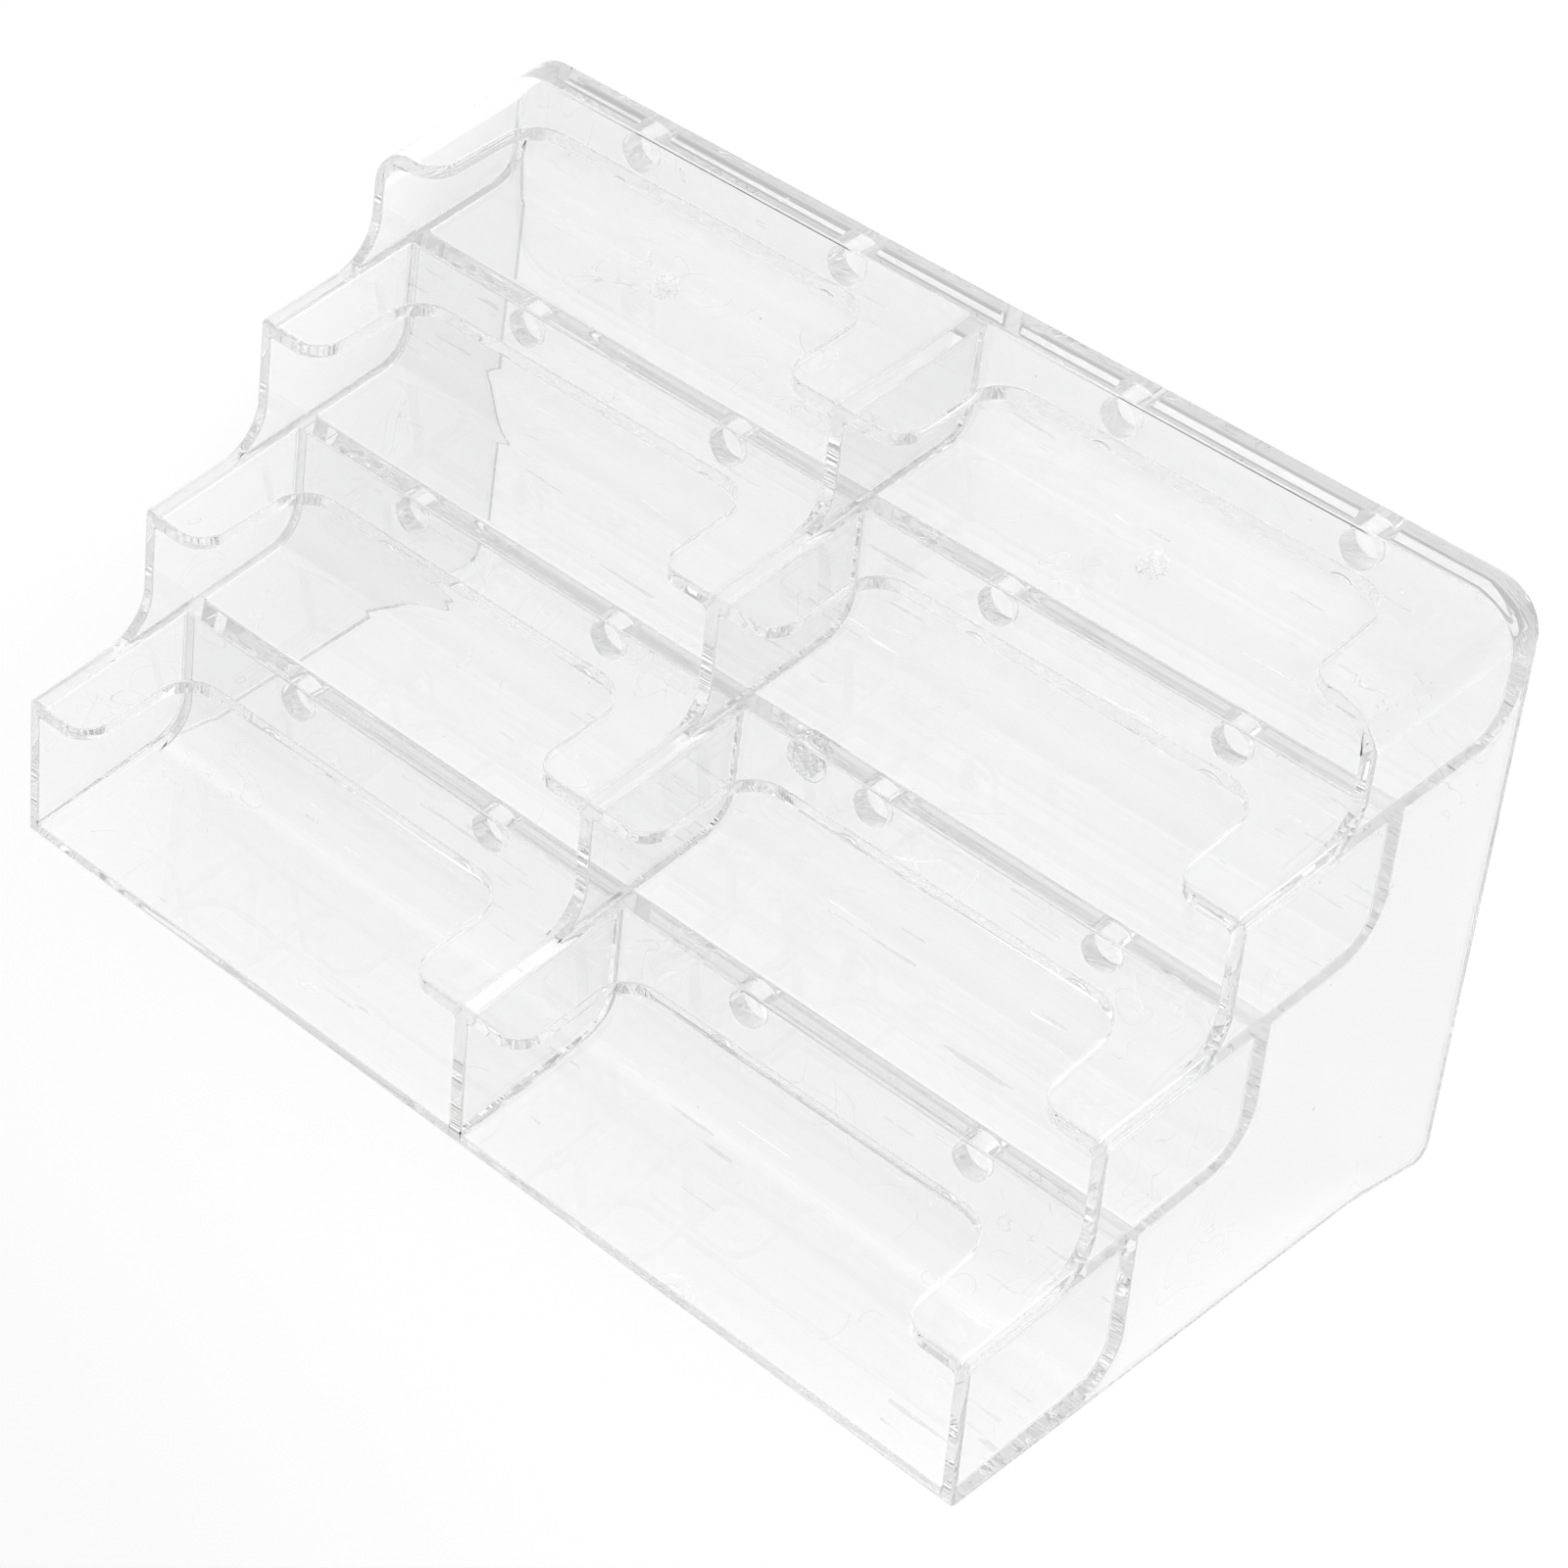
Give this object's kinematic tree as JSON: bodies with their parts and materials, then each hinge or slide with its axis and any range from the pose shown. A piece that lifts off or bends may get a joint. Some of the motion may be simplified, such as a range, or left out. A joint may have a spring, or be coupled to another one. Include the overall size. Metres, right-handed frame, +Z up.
{
  "type": "tiered card holder",
  "caption": "Clear moulded stair-stepped card holder: side-by-side columns of open pockets with thumb-notched front lips, leaning backs, stepped side walls and an open underside.",
  "frame": {"origin": "middle of the footprint, on the table", "axes": "+X to the right seen from the front, +Y to the back, +Z up"},
  "size_m": [0.203, 0.104, 0.1074],
  "materials": {
    "clear_plastic": "clear moulded polystyrene, polished"
  },
  "bodies": {
    "root": {"centre_divider": "clear_plastic", "front_plate_left": "clear_plastic", "front_plate_right": "clear_plastic", "side_wall_left": "clear_plastic", "side_wall_right": "clear_plastic", "tier_1_sheet_left": "clear_plastic", "tier_1_sheet_right": "clear_plastic", "tier_2_sheet_left": "clear_plastic", "tier_2_sheet_right": "clear_plastic", "tier_3_sheet_left": "clear_plastic", "tier_3_sheet_right": "clear_plastic", "tier_4_sheet_left": "clear_plastic", "tier_4_sheet_right": "clear_plastic"}
  },
  "joints": []
}
